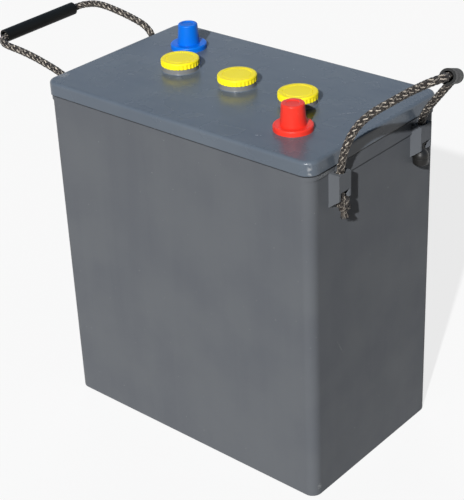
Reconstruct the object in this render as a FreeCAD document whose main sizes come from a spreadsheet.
import FreeCAD
import Part
import Sketcher

import math
import os
import re

# Gel block battery, 6 V, three cells in a row, with two rope handles.
# Millimetres. X runs along the case, Z is up, the origin is the middle of the case's underside.

# Each size is written once, with the words that say what it is.
sizes = [
    ("case_length", 304.2, "case wall, outside, along X"),
    ("case_width", 182.2, "case wall, outside, along Y"),
    ("case_top", 320, "underside of the rim band"),
    ("case_corner", 10, "outside corner radius of the case"),
    ("case_wall", 4, "case wall thickness"),
    ("case_floor", 4.5, "case floor thickness"),
    ("case_foot_edge", 1, "rounding of the case's bottom edge"),
    ("cell_corner", 5, "corner radius inside a cell"),
    ("partition", 3, "wall between two cells"),
    ("band_height", 4.3, "rim band, vertical"),
    ("band_proud", 0.9, "rim band beyond the case wall"),
    ("seam_gap", 0.5, "gap between the rim band and the lid skirt"),
    ("weld_gap", 0.3, "gap between the case tongue and the lid skirt"),
    ("rib_height", 18, "ribs on the floor that carry the plates"),
    ("rib_thick", 4, "thickness of those ribs"),
    ("rib_root", 1, "ribs let into the floor"),
    ("rib_inner", 30, "inner ribs from the middle plane"),
    ("rib_outer", 60, "outer ribs from the middle plane"),
    ("lid_overhang", 1.9, "lid skirt beyond the case wall"),
    ("lid_plate", 4, "lid plate thickness"),
    ("skirt_depth", 13.2, "lid top to skirt edge"),
    ("skirt_wall", 3, "lid skirt thickness"),
    ("lid_corner", 12, "outside corner radius of the lid"),
    ("lid_edge", 3, "rounding of the lid's top edge"),
    ("vent_inset", 85, "end vents from the lid's end"),
    ("vent_bore", 12.6, "radius of a vent's bore"),
    ("collar_radius", 17.3, "vent collar, outside"),
    ("collar_height", 5, "vent collar above the lid"),
    ("collar_edge", 0.6, "bevel of the collar's outer edge"),
    ("sleeve_radius", 15.2, "vent sleeve under the lid, outside"),
    ("sleeve_depth", 12, "vent sleeve below the lid plate"),
    ("cap_radius", 18, "vent cap head"),
    ("cap_height", 5.7, "vent cap head, vertical"),
    ("cap_edge", 1.6, "rounding of the cap's top edge"),
    ("cap_roof", 2.5, "thickness of the cap's roof"),
    ("cap_gap", 0.3, "gap between cap head and collar"),
    ("cap_ring_radius", 13, "groove on top of the cap"),
    ("cap_ring_depth", 0.4, "depth and half width of that groove"),
    ("flute_radius", 2.2, "flutes round the cap's rim"),
    ("flute_depth", 0.5, "depth of a flute"),
    ("flute_pitch", 3.77, "between two flutes, round the rim"),
    ("plug_length", 11.4, "cap plug below the head"),
    ("plug_wall", 2, "cap plug wall"),
    ("thread_gap", 0.4, "between cap plug and vent bore"),
    ("seal_height", 1.9, "seal ring, vertical"),
    ("seal_inner", 13.3, "seal ring, inner radius"),
    ("seal_outer", 15.7, "seal ring, outer radius"),
    ("seal_gap", 0.25, "beside the seal ring in its groove"),
    ("seat_height", 3, "valve seat disc"),
    ("seat_depth", 1, "plug edge to the valve seat disc"),
    ("seat_gap", 0.05, "round the valve seat disc"),
    ("nozzle_radius", 3.4, "valve nozzle, outside"),
    ("nozzle_bore", 1.5, "valve nozzle, inner radius"),
    ("nozzle_height", 5.5, "valve nozzle above its disc"),
    ("valve_wall", 1.8, "rubber valve, side wall"),
    ("valve_roof", 1.6, "rubber valve, roof"),
    ("valve_lift", 0.5, "rubber valve above the disc, and below the stub"),
    ("stub_radius", 2, "stub that keeps the valve on its nozzle"),
    ("post_end_inset", 54, "terminals from the lid's end"),
    ("post_side_inset", 47, "terminals from the lid's long side"),
    ("post_height", 18.5, "terminal top above the lid"),
    ("post_slope", 0.0556, "taper of a terminal, radius per length"),
    ("plus_radius", 8.75, "plus terminal, radius at the top"),
    ("minus_radius", 7.95, "minus terminal, radius at the top"),
    ("post_bevel", 0.6, "bevel of the terminal's top edge"),
    ("boss_radius", 13, "ring on the lid round a terminal"),
    ("boss_height", 2, "height of that ring"),
    ("socket_radius", 15, "lid boss round a terminal, under the lid"),
    ("socket_depth", 14, "that boss below the lid plate"),
    ("bushing_radius", 11, "lead bushing inside the lid"),
    ("barb_depth", 1.4, "sealing rings of the bushing, radial"),
    ("barb_pitch", 4.5, "sealing rings of the bushing, spacing"),
    ("bushing_gap", 0.05, "between bushing and lid"),
    ("pillar_radius", 5.95, "lead pillar inside the bushing"),
    ("pillar_gap", 0.1, "between pillar and bushing"),
    ("cover_flange", 17.4, "terminal cover flange radius"),
    ("cover_flange_height", 4.8, "terminal cover flange, vertical"),
    ("cover_wall", 1.35, "terminal cover wall at its foot"),
    ("cover_thinning", 0.3, "less wall at the cover's top"),
    ("cover_roof", 3.4, "terminal cover roof"),
    ("cover_edge", 1.4, "rounding of the cover's top edge"),
    ("cover_dish", 0.7, "dish in the cover's roof, depth"),
    ("cover_dish_radius", 6, "dish in the cover's roof, radius"),
    ("cover_gap", 0.3, "cover to terminal, sideways"),
    ("cover_headroom", 2, "cover above the terminal's top"),
    ("lug_y", 59, "rope lugs from the middle plane"),
    ("lug_width", 16, "rope lug along Y"),
    ("lug_depth", 11, "rope lug beyond the case wall"),
    ("lug_side", 2, "side walls of a rope lug"),
    ("lug_front", 1.5, "front wall of a rope lug"),
    ("lug_roof", 3, "roof of a rope lug"),
    ("lug_front_height", 16, "front wall of a rope lug, vertical"),
    ("lug_side_front", 23, "side wall's front edge, vertical"),
    ("lug_side_back", 31.5, "side wall's back edge, vertical"),
    ("eye_offset", 5.5, "rope eye from the case wall"),
    ("eye_radius", 4.6, "rope eye in the lug's roof"),
    ("eye_bevel", 0.4, "bevel round the rope eye"),
    ("beam_proud", 1.5, "stiffening beam beyond the case wall"),
    ("beam_height", 8.5, "stiffening beam below the rim band"),
    ("connector_radius", 8, "weld through a partition"),
    ("connector_rise", 6, "middle of those welds above the straps' underside"),
    ("minus_plate", 3.8, "negative plate thickness"),
    ("separator", 1.6, "separator thickness"),
    ("leaf_gap", 0.1, "between plates and separators"),
    ("stack_gap", 2.3, "plate stack to a cell's end walls"),
    ("plate_side_gap", 7.1, "plates to a cell's side walls"),
    ("plate_headroom", 43.5, "plates' top to the top of the case"),
    ("foot_height", 4, "plate feet, vertical"),
    ("foot_width", 6, "plate feet along Y"),
    ("tab_width", 14, "plate tab along Y"),
    ("strap_width", 22, "strap along Y"),
    ("strap_height", 8, "strap, vertical"),
    ("strap_rise", 7.5, "plates' top to the straps"),
    ("upright_thick", 5, "upright beside a partition weld, along X"),
    ("upright_height", 17, "that upright, vertical"),
    ("separator_spare", 4, "separator beyond the plates, each side"),
    ("separator_over", 4, "separators above the plates"),
    ("gel_over", 4.5, "gel above the plates"),
    ("rope_radius", 3.5, "handle rope"),
    ("grip_radius", 6.35, "grip tube, outside"),
    ("grip_bore", 4.35, "grip tube, inner radius"),
    ("grip_length", 92, "grip tube"),
    ("knot_radius", 5.7, "knot under a lug"),
    ("knot_height", 13, "knot, vertical"),
    ("knot_shoulder", 3.6, "slope at the knot's top and bottom, vertical"),
    ("knot_rounding", 2, "rounding between those slopes and the knot's side"),
    ("tail_radius", 4.4, "frayed tail of the rope at its end"),
    ("tail_neck", 2.8, "frayed tail of the rope at the knot"),
    ("tail_length", 10, "frayed tail below the knot"),
    ("stopper_neck", 3.9, "rope end stopper, neck radius"),
    ("stopper_radius", 7.1, "rope end stopper, body radius"),
    ("stopper_neck_height", 7, "stopper neck, vertical"),
    ("stopper_cone_height", 5, "stopper shoulder, vertical"),
    ("stopper_height", 22, "stopper, overall"),
    ("stopper_edge", 1.8, "rounding of the stopper's lower edge"),
]

# Counts that belong to this design.
cells = 3
positive_plates_a_cell = 7
barbs = 3

# Levels and radii nearer than this are the same
same_place = 1e-4

doc = FreeCAD.newDocument("GelBattery")
sheet = doc.addObject("Spreadsheet::Sheet", "Sizes")
for row, (alias, value, words) in enumerate(sizes, start=1):
    sheet.set(f"A{row}", words)
    sheet.set(f"B{row}", str(value))
    sheet.setAlias(f"B{row}", alias)
doc.recompute()


def bind(text):
    """Turn words such as case_wall into references to the sheet."""
    return re.sub(r"[a-z][a-z_]*", lambda word: f"Sizes.{word.group()}", f"({text})")


def value(text):
    """A size in millimetres, worked out from the sheet."""
    result = sheet.evalExpression(bind(text))
    return float(getattr(result, "Value", result))


# Levels and places that follow from the sizes.
band_top = "(case_top + band_height)"
skirt_edge = f"({band_top} + seam_gap)"
lid_top = f"({skirt_edge} + skirt_depth)"
lid_under = f"({lid_top} - lid_plate)"
lid_length = "(case_length + 2 * lid_overhang)"
lid_width = "(case_width + 2 * lid_overhang)"
cavity_length = "(case_length - 2 * case_wall)"
cavity_width = "(case_width - 2 * case_wall)"
cell_length = f"(({cavity_length} - {cells - 1} * partition) / {cells})"
cell_pitch = f"({cell_length} + partition)"
vent_pitch = f"(({lid_length} / 2 - vent_inset) * 2 / {cells - 1})"
collar_top = f"({lid_top} + collar_height)"
plug_radius = "(vent_bore - thread_gap)"
plug_inner = "(vent_bore - thread_gap - plug_wall)"
post_x = f"({lid_length} / 2 - post_end_inset)"
post_y = f"({lid_width} / 2 - post_side_inset)"
post_top = f"({lid_top} + post_height)"
eye_x = "(case_length / 2 + eye_offset)"

# Levels inside a vent cap, from the underside of its head.
seat_top = "(seat_depth + seat_height - plug_length)"
valve_top = f"({seat_top} + nozzle_height + valve_roof)"

# The plates of one cell: they fill its length, with a negative plate at each end of the stack.
rib_top = "(case_floor + rib_height)"
plate_low = f"({rib_top} + foot_height)"
plate_top = "(case_top - plate_headroom)"
plate_width = f"({cavity_width} - 2 * plate_side_gap)"
stack_length = f"({cell_length} - 2 * stack_gap)"
plate_pitch = f"(({stack_length} - minus_plate - 2 * leaf_gap) / {positive_plates_a_cell})"
plus_plate = f"({plate_pitch} - minus_plate - 2 * separator - 4 * leaf_gap)"
first_minus = f"(-{positive_plates_a_cell} * {plate_pitch} / 2)"
first_plus = f"(-{positive_plates_a_cell - 1} * {plate_pitch} / 2)"
leaf_step = f"({plus_plate} / 2 + leaf_gap + separator / 2)"
strap_level = f"({plate_top} + strap_rise)"
connector_level = f"({strap_level} + connector_rise)"
gel_level = f"({plate_top} + gel_over)"


def origin_plane(body, role):
    return next(item for item in body.Origin.OriginFeatures if item.Role == role)


def new_body(name, x="0", y="0", z="0"):
    body = doc.addObject("PartDesign::Body", name)
    body.Label = name
    for axis, text in zip("xyz", (x, y, z)):
        if text != "0":
            body.setExpression(f"Placement.Base.{axis}", bind(text))
    return body


def new_sketch(body, name, role, x="0", y="0", z="0"):
    """A sketch on an origin plane, moved by x, y and z in the sketch's own axes."""
    sketch = body.newObject("Sketcher::SketchObject", name)
    sketch.AttachmentSupport = [(origin_plane(body, role), "")]
    sketch.MapMode = "FlatFace"
    for axis, text in zip("xyz", (x, y, z)):
        sketch.setExpression(f"AttachmentOffset.Base.{axis}", bind(text))
    return sketch


def size_constraint(sketch, label, kind, where, text):
    """Add a constraint of one size and bind it to the sheet."""
    index = sketch.addConstraint(Sketcher.Constraint(kind, *where, value(text)))
    sketch.renameConstraint(index, label)
    sketch.setExpression(f"Constraints.{label}", bind(text))


def outline(sketch, points):
    """A closed outline of straight edges through points given as pairs of size texts."""
    first = sketch.GeometryCount
    places = [FreeCAD.Vector(value(x), value(y), 0) for x, y in points]
    count = len(places)
    for i in range(count):
        sketch.addGeometry(Part.LineSegment(places[i], places[(i + 1) % count]), False)
    for i in range(count):
        following = first + (i + 1) % count
        sketch.addConstraint(Sketcher.Constraint("Coincident", first + i, 2, following, 1))
    for i, (x, y) in enumerate(points):
        size_constraint(sketch, f"x{first + i}", "DistanceX", (first + i, 1), x)
        size_constraint(sketch, f"y{first + i}", "DistanceY", (first + i, 1), y)


def rectangle(sketch, length, width, x="0", y="0"):
    """A rectangle of size length by width about the point x, y."""
    outline(sketch, [
        (f"{x} - {length} / 2", f"{y} - {width} / 2"),
        (f"{x} + {length} / 2", f"{y} - {width} / 2"),
        (f"{x} + {length} / 2", f"{y} + {width} / 2"),
        (f"{x} - {length} / 2", f"{y} + {width} / 2"),
    ])


def circle(sketch, label, radius, x="0", y="0"):
    centre = FreeCAD.Vector(value(x), value(y), 0)
    ring = Part.Circle(centre, FreeCAD.Vector(0, 0, 1), value(radius))
    index = sketch.addGeometry(ring, False)
    size_constraint(sketch, f"{label}_radius", "Radius", (index,), radius)
    size_constraint(sketch, f"{label}_x", "DistanceX", (index, 3), x)
    size_constraint(sketch, f"{label}_y", "DistanceY", (index, 3), y)


def rounded_box(sketch, length, width, radius):
    """A rectangle about the sketch's origin with four equal round corners."""
    half_x = value(length) / 2
    half_y = value(width) / 2
    r = value(radius)
    up = FreeCAD.Vector(0, 0, 1)
    for i in range(4):
        sign_x = (1, -1, -1, 1)[i]
        sign_y = (1, 1, -1, -1)[i]
        centre = FreeCAD.Vector(sign_x * (half_x - r), sign_y * (half_y - r), 0)
        arc = Part.ArcOfCircle(Part.Circle(centre, up, r), i * math.pi / 2, (i + 1) * math.pi / 2)
        sketch.addGeometry(arc, False)
    for i in range(4):
        start = sketch.getPoint(i, 2)
        end = sketch.getPoint((i + 1) % 4, 1)
        sketch.addGeometry(Part.LineSegment(start, end), False)
    for i in range(4):
        sketch.addConstraint(Sketcher.Constraint("Tangent", i, 2, 4 + i, 1))
        sketch.addConstraint(Sketcher.Constraint("Tangent", 4 + i, 2, (i + 1) % 4, 1))
    for i in range(1, 4):
        sketch.addConstraint(Sketcher.Constraint("Equal", 0, i))
    size_constraint(sketch, "corner", "Radius", (0,), radius)
    size_constraint(sketch, "left", "DistanceX", (5, 1), f"-{length} / 2")
    size_constraint(sketch, "right", "DistanceX", (7, 1), f"{length} / 2")
    size_constraint(sketch, "back", "DistanceY", (4, 1), f"{width} / 2")
    size_constraint(sketch, "front", "DistanceY", (6, 1), f"-{width} / 2")


def pad(body, name, sketch, length, midplane=False):
    feature = body.newObject("PartDesign::Pad", name)
    feature.Profile = sketch
    feature.setExpression("Length", bind(length))
    feature.SideType = "Symmetric" if midplane else "One side"
    return feature


def pocket(body, name, sketch, length, midplane=False):
    """Cut the sketch along its own plane's normal, or to both sides of it."""
    feature = body.newObject("PartDesign::Pocket", name)
    feature.Profile = sketch
    feature.setExpression("Length", bind(length))
    feature.SideType = "Symmetric" if midplane else "One side"
    feature.Reversed = not midplane
    return feature


def revolve(body, name, sketch, cut=False):
    kind = "PartDesign::Groove" if cut else "PartDesign::Revolution"
    feature = body.newObject(kind, name)
    feature.Profile = sketch
    feature.ReferenceAxis = (sketch, ["V_Axis"])
    feature.Angle = 360
    return feature


def round_edges(body, name, base, radius, wanted):
    """Round the edges of the base feature that the test function accepts."""
    doc.recompute()
    edges = [f"Edge{i}" for i, edge in enumerate(base.Shape.Edges, start=1) if wanted(edge)]
    feature = body.newObject("PartDesign::Fillet", name)
    feature.Base = (base, edges)
    feature.setExpression("Radius", bind(radius))
    return feature


def in_plane(level):
    """Accept edges that lie in the horizontal plane at this level."""
    def wanted(edge):
        box = edge.BoundBox
        return abs(box.ZMin - level) < same_place and abs(box.ZMax - level) < same_place
    return wanted


def ring_at(radius, level):
    """Accept full circles about the body's axis with this radius at this level."""
    def wanted(edge):
        flat = in_plane(level)(edge)
        return flat and hasattr(edge.Curve, "Radius") and abs(edge.Curve.Radius - radius) < same_place
    return wanted


def make_container():
    body = new_body("container")

    # Wall, rim band and the tongue that stands inside the lid's skirt
    wall = new_sketch(body, "wall_outline", "XY_Plane")
    rounded_box(wall, "case_length", "case_width", "case_corner")
    pad(body, "wall", wall, "case_top")
    band = new_sketch(body, "band_outline", "XY_Plane", z="case_top")
    rounded_box(band, "(case_length + 2 * band_proud)", "(case_width + 2 * band_proud)",
                "(case_corner + band_proud)")
    pad(body, "band", band, "band_height")
    tongue_inset = "(skirt_wall + weld_gap - lid_overhang)"
    tongue = new_sketch(body, "tongue_outline", "XY_Plane", z=band_top)
    rounded_box(tongue, f"(case_length - 2 * {tongue_inset})", f"(case_width - 2 * {tongue_inset})",
                "(lid_corner - skirt_wall - weld_gap)")
    pad(body, "tongue", tongue, f"{lid_under} - {band_top}")

    # Rope lugs and beam stand on the +X end, and are mirrored to the other end below
    face = "case_length / 2"
    lug_front = f"({face} + lug_depth)"
    lug_outline = new_sketch(body, "lug_outline", "XZ_Plane", z="-lug_y")
    outline(lug_outline, [
        (f"{face} - case_wall / 2", "case_top"),
        (f"{face} - case_wall / 2", "case_top - lug_side_back"),
        (face, "case_top - lug_side_back"),
        (lug_front, "case_top - lug_side_front"),
        (lug_front, "case_top"),
    ])
    lug = pad(body, "lug", lug_outline, "lug_width", midplane=True)
    channel_outline = new_sketch(body, "lug_channel_outline", "XZ_Plane", z="-lug_y")
    outline(channel_outline, [
        (face, "case_top - lug_roof"),
        (f"{lug_front} - lug_front", "case_top - lug_roof"),
        (f"{lug_front} - lug_front", "case_top - lug_front_height"),
        (f"{lug_front} + lug_front", "case_top - lug_front_height"),
        (f"{lug_front} + lug_front", "case_top - lug_side_back - lug_front"),
        (face, "case_top - lug_side_back - lug_front"),
    ])
    channel = pocket(body, "lug_channel", channel_outline, "lug_width - 2 * lug_side", midplane=True)
    eye_outline = new_sketch(body, "eye_outline", "XZ_Plane", x=eye_x, y="case_top", z="-lug_y")
    outline(eye_outline, [
        ("0", "lug_roof"),
        ("eye_radius + eye_bevel", "lug_roof"),
        ("eye_radius + eye_bevel", "0"),
        ("eye_radius", "-eye_bevel"),
        ("eye_radius", "-2 * lug_roof"),
        ("0", "-2 * lug_roof"),
    ])
    eye = revolve(body, "rope_eye", eye_outline, cut=True)
    four_lugs = body.newObject("PartDesign::MultiTransform", "four_lugs")
    across = body.newObject("PartDesign::Mirrored", "lugs_across")
    across.MirrorPlane = (origin_plane(body, "XZ_Plane"), [""])
    along = body.newObject("PartDesign::Mirrored", "lugs_along")
    along.MirrorPlane = (origin_plane(body, "YZ_Plane"), [""])
    four_lugs.Originals = [lug, channel, eye]
    four_lugs.Transformations = [across, along]
    body.Tip = four_lugs
    beam_outline = new_sketch(body, "beam_outline", "XY_Plane", z="case_top - beam_height")
    rectangle(beam_outline, "(case_length + 2 * beam_proud)", "(2 * lug_y - lug_width)")
    pad(body, "end_beams", beam_outline, "beam_height + band_height")

    # Three cells, their floor ribs and the holes through the partitions
    cell_outline = new_sketch(body, "cell_outline", "XY_Plane", x=f"-{cell_pitch}", z="case_floor")
    rounded_box(cell_outline, cell_length, cavity_width, "cell_corner")
    cell = pocket(body, "cell", cell_outline, f"{lid_under} - case_floor")
    row = body.newObject("PartDesign::LinearPattern", "cell_row")
    row.Originals = [cell]
    row.Direction = (cell_outline, ["H_Axis"])
    row.setExpression("Length", bind(f"{cells - 1} * {cell_pitch}"))
    row.Occurrences = cells
    body.Tip = row
    ribs = new_sketch(body, "rib_outlines", "XY_Plane", z="case_floor - rib_root")
    for place in ("rib_inner", "-rib_inner", "rib_outer", "-rib_outer"):
        rectangle(ribs, f"({cavity_length} + case_wall)", "rib_thick", y=place)
    pad(body, "floor_ribs", ribs, "rib_height + rib_root")
    for index, side in enumerate(("", "-"), start=1):
        hole = new_sketch(body, f"weld_hole_outline_{index}", "YZ_Plane", z=f"{side}{cell_pitch} / 2")
        circle(hole, "hole", "connector_radius", f"{side}{post_y}", connector_level)
        pocket(body, f"weld_hole_{index}", hole, "2 * partition", midplane=True)
    rounded = body.Tip
    round_edges(body, "foot_edge", rounded, "case_foot_edge", in_plane(0))
    return body


def make_lid():
    body = new_body("lid", z=skirt_edge)
    top = "skirt_depth"
    under = "(skirt_depth - lid_plate)"
    plate = new_sketch(body, "lid_outline", "XY_Plane")
    rounded_box(plate, lid_length, lid_width, "lid_corner")
    block = pad(body, "lid_block", plate, top)
    round_edges(body, "lid_top_edge", block, "lid_edge", in_plane(value(top)))
    inside = new_sketch(body, "skirt_inside", "XY_Plane")
    rounded_box(inside, f"({lid_length} - 2 * skirt_wall)", f"({lid_width} - 2 * skirt_wall)",
                "(lid_corner - skirt_wall)")
    pocket(body, "skirt", inside, under)

    # Vents: a collar above the plate, a threaded sleeve below it and the bore
    collar = new_sketch(body, "collar_profile", "XZ_Plane", x=f"-{vent_pitch}")
    outline(collar, [
        ("0", f"{under} - sleeve_depth"),
        ("sleeve_radius", f"{under} - sleeve_depth"),
        ("sleeve_radius", under),
        ("collar_radius", under),
        ("collar_radius", f"{top} + collar_height - collar_edge"),
        ("collar_radius - collar_edge", f"{top} + collar_height"),
        ("0", f"{top} + collar_height"),
    ])
    collar_body = revolve(body, "collar", collar)
    bore = new_sketch(body, "bore_profile", "XZ_Plane", x=f"-{vent_pitch}")
    outline(bore, [
        ("0", f"{under} - 2 * sleeve_depth"),
        ("vent_bore", f"{under} - 2 * sleeve_depth"),
        ("vent_bore", f"{top} + 2 * collar_height"),
        ("0", f"{top} + 2 * collar_height"),
    ])
    bore_body = revolve(body, "vent_bore", bore, cut=True)
    row = body.newObject("PartDesign::LinearPattern", "vent_row")
    row.Originals = [collar_body, bore_body]
    row.Direction = (plate, ["H_Axis"])
    row.setExpression("Length", bind(f"{cells - 1} * {vent_pitch}"))
    row.Occurrences = cells
    body.Tip = row

    # Terminal bosses, cut to the profile of the lead bushings that are moulded in
    for index, side in enumerate(("", "-"), start=1):
        place = dict(x=f"{side}{post_x}", z=f"{side}{post_y}")
        boss = new_sketch(body, f"boss_profile_{index}", "XZ_Plane", **place)
        outline(boss, [
            ("0", f"{under} - socket_depth"),
            ("socket_radius", f"{under} - socket_depth"),
            ("socket_radius", under),
            ("boss_radius", under),
            ("boss_radius", f"{top} + boss_height"),
            ("0", f"{top} + boss_height"),
        ])
        revolve(body, f"boss_{index}", boss)
        socket = new_sketch(body, f"socket_profile_{index}", "XZ_Plane", **place)
        low = f"({under} - socket_depth)"
        high = f"({top} + boss_height)"
        outline(socket, [("0", low)] + barbed_side(low, high, "bushing_gap") + [("0", high)])
        revolve(body, f"socket_{index}", socket, cut=True)
    return body


def barbed_side(low, high, gap):
    """The bushing's side inside the lid: a straight wall with square sealing rings."""
    outer = f"(bushing_radius + {gap})"
    inner = f"(bushing_radius - barb_depth + {gap})"
    side = [(inner, low)]
    for i in range(barbs):
        foot = f"({low} + {i} * barb_pitch + barb_pitch / 2 - {gap})"
        head = f"({low} + {i} * barb_pitch + barb_pitch + {gap})"
        side += [(inner, foot), (outer, foot), (outer, head), (inner, head)]
    side.append((inner, high))
    return side


def make_bushing(name, side, top_radius):
    """Lead bushing: sealing rings inside the lid and a tapered terminal above it."""
    low = "(-lid_plate - socket_depth)"
    high = "boss_height"
    body = new_body(name, f"{side}{post_x}", f"-{post_y}" if side == "" else post_y, lid_top)
    profile = new_sketch(body, f"{name}_profile", "XZ_Plane")
    foot_radius = f"({top_radius} + post_slope * (post_height - boss_height))"
    outline(profile, [("pillar_radius + pillar_gap", low)] + barbed_side(low, high, "0") + [
        (foot_radius, high),
        (f"{top_radius} + post_slope * post_bevel", "post_height - post_bevel"),
        (f"{top_radius} - post_bevel", "post_height"),
        ("pillar_radius + pillar_gap", "post_height"),
    ])
    revolve(body, f"{name}_turned", profile)
    return body


def make_cover(name, side, top_radius):
    """Soft plastic terminal cover: a flange, a tapered hood and a dished roof."""
    body = new_body(name, f"{side}{post_x}", f"-{post_y}" if side == "" else post_y, lid_top)
    foot_inner = f"({top_radius} + post_slope * (post_height - boss_height) + cover_gap)"
    top_inner = f"({top_radius} - post_slope * cover_headroom + cover_gap)"
    roof = "(post_height + cover_headroom)"
    peak = f"({roof} + cover_roof)"
    recess = "(boss_height + cover_gap)"
    foot_outer = f"({foot_inner} + cover_wall)"
    top_outer = f"({top_inner} + cover_wall - cover_thinning)"
    profile = new_sketch(body, f"{name}_profile", "XZ_Plane")
    outline(profile, [
        ("boss_radius + cover_gap", "0"),
        ("cover_flange", "0"),
        ("cover_flange", "cover_flange_height"),
        (foot_outer, "cover_flange_height"),
        (top_outer, peak),
        ("cover_dish_radius", peak),
        ("cover_dish_radius - cover_dish", f"{peak} - cover_dish"),
        ("0", f"{peak} - cover_dish"),
        ("0", roof),
        (top_inner, roof),
        (foot_inner, recess),
        ("boss_radius + cover_gap", recess),
    ])
    turned = revolve(body, f"{name}_turned", profile)
    top_ring = ring_at(value(top_outer), value(peak))
    flange_ring = ring_at(value("cover_flange"), value("cover_flange_height"))
    round_edges(body, f"{name}_edges", turned, "cover_edge",
                lambda edge: top_ring(edge) or flange_ring(edge))
    return body


def make_vent_cap(index, x):
    """Screw plug with a fluted head, a seal groove below it and a stub over the valve."""
    name = f"vent_cap_{index}"
    body = new_body(name, x, "0", f"{collar_top} + cap_gap")
    profile = new_sketch(body, f"{name}_profile", "XZ_Plane")
    roof = "(cap_height - cap_roof)"
    stub = f"({valve_top} + valve_lift)"
    outline(profile, [
        (plug_inner, "-plug_length"),
        (plug_radius, "-plug_length"),
        (plug_radius, "0"),
        ("seal_inner - seal_gap", "0"),
        ("seal_inner - seal_gap", "seal_height - cap_gap"),
        ("seal_outer + seal_gap", "seal_height - cap_gap"),
        ("seal_outer + seal_gap", "0"),
        ("cap_radius", "0"),
        ("cap_radius", "cap_height"),
        ("cap_ring_radius + cap_ring_depth", "cap_height"),
        ("cap_ring_radius", "cap_height - cap_ring_depth"),
        ("cap_ring_radius - cap_ring_depth", "cap_height"),
        ("0", "cap_height"),
        ("0", stub),
        ("stub_radius", stub),
        ("stub_radius", roof),
        (plug_inner, roof),
    ])
    turned = revolve(body, f"{name}_turned", profile)
    rounded = round_edges(body, f"{name}_edge", turned, "cap_edge",
                          ring_at(value("cap_radius"), value("cap_height")))
    flute_outline = new_sketch(body, f"{name}_flute_outline", "XY_Plane")
    circle(flute_outline, "flute", "flute_radius", "cap_radius + flute_radius - flute_depth")
    flute = pocket(body, f"{name}_flute", flute_outline, "cap_height - cap_edge")
    flutes_a_cap = round(2 * math.pi * value("cap_radius") / value("flute_pitch"))
    flutes = body.newObject("PartDesign::PolarPattern", f"{name}_flutes")
    flutes.Originals = [flute]
    flutes.Axis = (flute_outline, ["N_Axis"])
    flutes.Angle = 360
    flutes.Occurrences = flutes_a_cap
    body.Tip = flutes
    doc.recompute()
    if flute.Shape.Volume >= rounded.Shape.Volume:
        raise RuntimeError(f"the flutes of {name} cut nothing")
    return body


def make_valve_seat(index, x):
    name = f"valve_seat_{index}"
    body = new_body(name, x, "0", f"{collar_top} + cap_gap")
    profile = new_sketch(body, f"{name}_profile", "XZ_Plane")
    outline(profile, [
        ("nozzle_bore", "seat_depth - plug_length"),
        (f"{plug_inner} - seat_gap", "seat_depth - plug_length"),
        (f"{plug_inner} - seat_gap", seat_top),
        ("nozzle_radius", seat_top),
        ("nozzle_radius", f"{seat_top} + nozzle_height"),
        ("nozzle_bore", f"{seat_top} + nozzle_height"),
    ])
    revolve(body, f"{name}_turned", profile)
    return body


def make_valve(index, x):
    name = f"valve_{index}"
    body = new_body(name, x, "0", f"{collar_top} + cap_gap")
    profile = new_sketch(body, f"{name}_profile", "XZ_Plane")
    inner = "(nozzle_radius + seat_gap)"
    outline(profile, [
        (inner, f"{seat_top} + valve_lift"),
        (f"{inner} + valve_wall", f"{seat_top} + valve_lift"),
        (f"{inner} + valve_wall", valve_top),
        ("0", valve_top),
        ("0", f"{seat_top} + nozzle_height"),
        (inner, f"{seat_top} + nozzle_height"),
    ])
    revolve(body, f"{name}_turned", profile)
    return body


def make_vent_seal(index, x):
    name = f"vent_seal_{index}"
    body = new_body(name, x, "0", collar_top)
    profile = new_sketch(body, f"{name}_profile", "XZ_Plane")
    outline(profile, [
        ("seal_inner", "0"),
        ("seal_outer", "0"),
        ("seal_outer", "seal_height"),
        ("seal_inner", "seal_height"),
    ])
    revolve(body, f"{name}_turned", profile)
    return body


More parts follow.
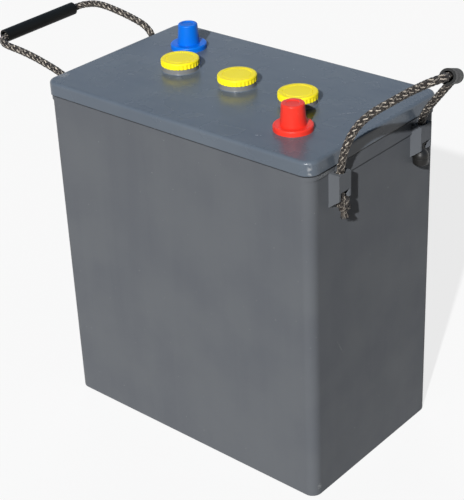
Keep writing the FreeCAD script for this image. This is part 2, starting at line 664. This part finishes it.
def make_plates(name, x, side, first, count, thick, feet, end):
    """One polarity of one cell: plates with feet and tabs, burnt to a strap.

    The strap carries an upright against the partition at end +1 or -1, or the pillar at 0.
    """
    body = new_body(name, x)
    foot = "(foot_width / 2)"
    tab = "(tab_width / 2)"
    half = f"({plate_width} / 2)"
    plate = new_sketch(body, f"{name}_plate_outline", "YZ_Plane", z=first)
    across = f"{side}{post_y}"
    strap_middle = f"({strap_level} + strap_height / 2)"
    points = [(f"-{half}", plate_low)]
    for place in (f"-{feet}", feet):
        points += [
            (f"{place} - {foot}", plate_low),
            (f"{place} - {foot}", rib_top),
            (f"{place} + {foot}", rib_top),
            (f"{place} + {foot}", plate_low),
        ]
    points += [
        (half, plate_low),
        (half, plate_top),
        (f"{across} + {tab}", plate_top),
        (f"{across} + {tab}", strap_middle),
        (f"{across} - {tab}", strap_middle),
        (f"{across} - {tab}", plate_top),
        (f"-{half}", plate_top),
    ]
    outline(plate, points)
    one = pad(body, f"{name}_plate", plate, thick, midplane=True)
    row = body.newObject("PartDesign::LinearPattern", f"{name}_row")
    row.Originals = [one]
    row.Direction = (plate, ["N_Axis"])
    row.setExpression("Length", bind(f"{count - 1} * {plate_pitch}"))
    row.Occurrences = count
    body.Tip = row

    strap = new_sketch(body, f"{name}_strap_outline", "XY_Plane", z=strap_level)
    reach = f"({cell_length} / 2)"
    left = f"-{reach}" if end == -1 else f"({first} - {thick} / 2)"
    right = reach if end == 1 else f"(-{first} + {thick} / 2)"
    outline(strap, [
        (left, f"{across} - strap_width / 2"),
        (right, f"{across} - strap_width / 2"),
        (right, f"{across} + strap_width / 2"),
        (left, f"{across} + strap_width / 2"),
    ])
    pad(body, f"{name}_strap", strap, "strap_height")
    if end == 0:
        pillar = new_sketch(body, f"{name}_pillar_outline", "XY_Plane", z=strap_middle)
        sign = "" if side == "-" else "-"
        circle(pillar, "pillar", "pillar_radius", f"{sign}{post_x} - ({x})", across)
        pad(body, f"{name}_pillar", pillar, f"{post_top} - {strap_middle}")
    else:
        upright = new_sketch(body, f"{name}_upright_outline", "XY_Plane", z=strap_level)
        rectangle(upright, "upright_thick", "strap_width",
                  f"({end} * ({reach} - upright_thick / 2))", across)
        pad(body, f"{name}_upright", upright, "upright_height")
    return body


def make_separators(index, x):
    """The separators of one cell: one leaf on each side of each positive plate."""
    name = f"separators_{index}"
    leaves = []
    for i in range(positive_plates_a_cell):
        for side in ("-", "+"):
            leaf = doc.addObject("Part::Box", f"{name}_leaf")
            leaf.setExpression("Length", bind("separator"))
            leaf.setExpression("Width", bind(f"{plate_width} + 2 * separator_spare"))
            leaf.setExpression("Height", bind(f"{plate_top} + separator_over - {rib_top}"))
            middle = f"{first_plus} + {i} * {plate_pitch} {side} {leaf_step}"
            leaf.setExpression("Placement.Base.x", bind(f"{middle} - separator / 2"))
            leaf.setExpression("Placement.Base.y", bind(f"-{plate_width} / 2 - separator_spare"))
            leaves.append(leaf)
    pack = doc.addObject("Part::Compound", name)
    pack.Label = name
    pack.Links = leaves
    pack.setExpression("Placement.Base.x", bind(x))
    pack.setExpression("Placement.Base.z", bind(rib_top))
    return pack


def make_connector(index, x, side):
    """Lead weld that fills the hole through one partition."""
    name = f"cell_connector_{index}"
    body = new_body(name, x, f"{side}{post_y}", connector_level)
    profile = new_sketch(body, f"{name}_outline", "YZ_Plane")
    circle(profile, "weld", "connector_radius")
    pad(body, f"{name}_weld", profile, "partition", midplane=True)
    return body


def make_gel(index, x):
    """Set gel round the plates of one cell, down between the ribs."""
    name = f"gel_{index}"
    body = new_body(name, x, "0", "case_floor")
    bath = new_sketch(body, f"{name}_outline", "XY_Plane")
    rounded_box(bath, cell_length, cavity_width, "cell_corner")
    pad(body, f"{name}_block", bath, f"{gel_level} - case_floor")
    stack = new_sketch(body, f"{name}_stack_outline", "XY_Plane", z="rib_height")
    rectangle(stack, stack_length, f"({plate_width} + 2 * separator_spare + 2 * leaf_gap)")
    pocket(body, f"{name}_stack", stack, gel_level)
    ribs = new_sketch(body, f"{name}_rib_outlines", "XY_Plane")
    for place in ("rib_inner", "-rib_inner", "rib_outer", "-rib_outer"):
        rectangle(ribs, f"({cell_length} + cell_corner)", "rib_thick", y=place)
    pocket(body, f"{name}_ribs", ribs, "rib_height")
    return body


def make_knot(name, route, end):
    """Rope knot under a lug, flat on top where its rope enters, with a frayed tail."""
    body = new_body(name)
    profile = new_sketch(body, f"{name}_profile", "XZ_Plane")
    outline(profile, [
        ("0", "0"),
        ("rope_radius", "0"),
        ("knot_radius", "-knot_shoulder"),
        ("knot_radius", "knot_shoulder - knot_height"),
        ("tail_neck", "-knot_height"),
        ("tail_radius", "-knot_height - tail_length"),
        ("0", "-knot_height - tail_length"),
    ])
    turned = revolve(body, f"{name}_turned", profile)
    high = ring_at(value("knot_radius"), -value("knot_shoulder"))
    low = ring_at(value("knot_radius"), value("knot_shoulder - knot_height"))
    round_edges(body, f"{name}_sides", turned, "knot_rounding",
                lambda edge: high(edge) or low(edge))
    body.Placement = rope_end_placement(route[0], route[1], end)
    return body


def make_stopper(name, route, end):
    """Bell-shaped plastic rope end under a lug."""
    body = new_body(name)
    profile = new_sketch(body, f"{name}_profile", "XZ_Plane")
    outline(profile, [
        ("0", "-stopper_height"),
        ("stopper_radius", "-stopper_height"),
        ("stopper_radius", "-stopper_neck_height - stopper_cone_height"),
        ("stopper_neck", "-stopper_neck_height"),
        ("stopper_neck", "0"),
        ("0", "0"),
    ])
    turned = revolve(body, f"{name}_turned", profile)
    round_edges(body, f"{name}_edge", turned, "stopper_edge",
                ring_at(value("stopper_radius"), -value("stopper_height")))
    body.Placement = rope_end_placement(route[-1], route[-2], end)
    return body


# Rope routes, chosen by hand. X counts outwards from the eyes and Z from the lugs' top.
left_route = [
    (0.35, -59, -17), (-0.85, -59, -8.5), (1.5, -59.3, 5), (8.5, -60.2, 14), (21, -59.8, 18),
    (37, -58.5, 19), (55, -57, 17.6), (72, -56, 16), (85, -57, 15.4), (94.5, -57.6, 16.4),
    (101.5, -55.2, 20.4), (103.8, -49.3, 23.3), (102.8, 50.2, 25.2), (99.8, 56.8, 27.8),
    (92.5, 59.5, 31.5), (81.5, 58.5, 34.5), (68.5, 56, 36.6), (52.5, 54.5, 37.6), (35.5, 55, 34.8),
    (20.5, 56.3, 28.2), (8.5, 57.8, 18.5), (1.5, 58.8, 5), (-0.85, 59, -8.5), (0.35, 59, -17),
]
right_route = [
    (0.35, -59, -17), (-0.85, -59, -8.5), (1.5, -59, 5), (4.1, -58.7, 18), (9.2, -58, 32),
    (17.5, -57, 46), (30.5, -56, 59), (46.5, -55, 71), (61.5, -54.8, 82.3), (73.3, -57.5, 90.3),
    (83.9, -61.5, 97.6), (90.9, -57.2, 100.9), (92.1, -49.8, 100.7), (49.1, 33.1, 63.5),
    (40.8, 38.6, 54.5), (29.8, 43.5, 41.5), (18.8, 48, 28.5), (8.8, 53, 16.5),
    (1.6, 58.2, 5), (-0.85, 59, -8.5), (0.35, 59, -17),
]
arc_share = 0.45
volume_slack = 0.01


def placed(point, end):
    """A point of a route on its side of the case: end is +1 at +X and -1 at -X."""
    x, y, z = point
    return FreeCAD.Vector(end * (value(eye_x) + x), y, value("case_top") + z)


def rope_end_placement(tip, inner, end):
    """Put a piece on the end of a rope, with its own +Z into the rope."""
    into_rope = placed(inner, end) - placed(tip, end)
    turn = FreeCAD.Rotation(FreeCAD.Vector(0, 0, 1), into_rope)
    return FreeCAD.Placement(placed(tip, end), turn)


def rope_path(points):
    """Straight runs joined by tangent arcs, with each arc's radius."""
    edges = []
    radii = []
    start = points[0]
    for before, corner, after in zip(points, points[1:], points[2:]):
        back = before - corner
        ahead = after - corner
        turn = math.pi - back.getAngle(ahead)
        cut = arc_share * min(back.Length, ahead.Length)
        radius = cut / math.tan(turn / 2)
        radii.append(radius)
        back.normalize()
        ahead.normalize()
        enter = corner + back * cut
        leave = corner + ahead * cut
        inward = (back + ahead).normalize()
        centre = corner + inward * (radius / math.cos(turn / 2))
        crown = centre - inward * radius
        edges.append(Part.LineSegment(start, enter).toShape())
        edges.append(Part.Arc(enter, crown, leave).toShape())
        start = leave
    edges.append(Part.LineSegment(start, points[-1]).toShape())
    return Part.Wire(edges), radii


def make_rope(name, route, end):
    """One braided handle rope, from knot to stopper."""
    points = [placed(point, end) for point in route]
    path, radii = rope_path(points)
    radius = value("rope_radius")
    ring = Part.Circle(points[0], points[1] - points[0], radius)
    section = Part.Wire([ring.toShape()])
    rope = doc.addObject("Part::Feature", name)
    rope.Label = name
    rope.Shape = path.makePipeShell([section], True, False)
    share = rope.Shape.Volume / (math.pi * radius ** 2 * path.Length)
    print(name, "length", round(path.Length, 1), "radii", [round(r, 1) for r in radii])
    print(name, "volume by section times length", round(share, 4))
    if abs(share - 1) > volume_slack:
        raise RuntimeError(f"{name} is not a sound tube")
    return rope


def make_grip(name, route, first, end):
    """Tube grip threaded on the long straight run of its rope, which starts at point first."""
    start = placed(route[first], end)
    stop = placed(route[first + 1], end)
    body = new_body(name)
    profile = new_sketch(body, f"{name}_profile", "XY_Plane")
    circle(profile, "outer", "grip_radius")
    circle(profile, "bore", "grip_bore")
    pad(body, f"{name}_tube", profile, "grip_length", midplane=True)
    turn = FreeCAD.Rotation(FreeCAD.Vector(0, 0, 1), stop - start)
    body.Placement = FreeCAD.Placement((start + stop) / 2, turn)
    return body


pieces = [make_container(), make_lid()]
pieces.append(make_bushing("positive_bushing", "", "plus_radius"))
pieces.append(make_bushing("negative_bushing", "-", "minus_radius"))
pieces.append(make_cover("positive_cover", "", "plus_radius"))
pieces.append(make_cover("negative_cover", "-", "minus_radius"))

for number in range(1, cells + 1):
    step = 2 - number
    vent_x = f"{step} * {vent_pitch}"
    pieces.append(make_vent_cap(number, vent_x))
    pieces.append(make_vent_seal(number, vent_x))
    pieces.append(make_valve_seat(number, vent_x))
    pieces.append(make_valve(number, vent_x))

# Cell 1 is under the plus terminal, cell 2 is turned round, cell 3 is under the minus terminal
for number, plus_side, plus_end, minus_end in ((1, "-", 0, -1), (2, "", 1, -1), (3, "-", 1, 0)):
    cell_x = f"{2 - number} * {cell_pitch}"
    minus_side = "" if plus_side == "-" else "-"
    pieces.append(make_plates(f"positive_plates_{number}", cell_x, plus_side, first_plus,
                              positive_plates_a_cell, plus_plate, "rib_inner", plus_end))
    pieces.append(make_plates(f"negative_plates_{number}", cell_x, minus_side, first_minus,
                              positive_plates_a_cell + 1, "minus_plate", "rib_outer", minus_end))
    pieces.append(make_separators(number, cell_x))
    pieces.append(make_gel(number, cell_x))
pieces.append(make_connector(1, f"{cell_pitch} / 2", ""))
pieces.append(make_connector(2, f"-{cell_pitch} / 2", "-"))

for side, route, first, end in (("left", left_route, 11, -1), ("right", right_route, 12, 1)):
    pieces.append(make_rope(f"{side}_rope", route, end))
    pieces.append(make_knot(f"{side}_rope_knot", route, end))
    pieces.append(make_stopper(f"{side}_stopper", route, end))
    pieces.append(make_grip(f"{side}_grip", route, first, end))

doc.recompute()
for item in doc.Objects:
    if "Invalid" in item.State or "Error" in item.State:
        raise RuntimeError(f"{item.Name} did not compute")
os.makedirs("parts", exist_ok=True)
for piece in pieces:
    if piece.Shape.isNull() or not piece.Shape.isValid():
        raise RuntimeError(f"{piece.Label} has no valid shape")
    piece.Shape.exportStep(f"parts/{piece.Label}.step")
print(len(pieces), "pieces written")
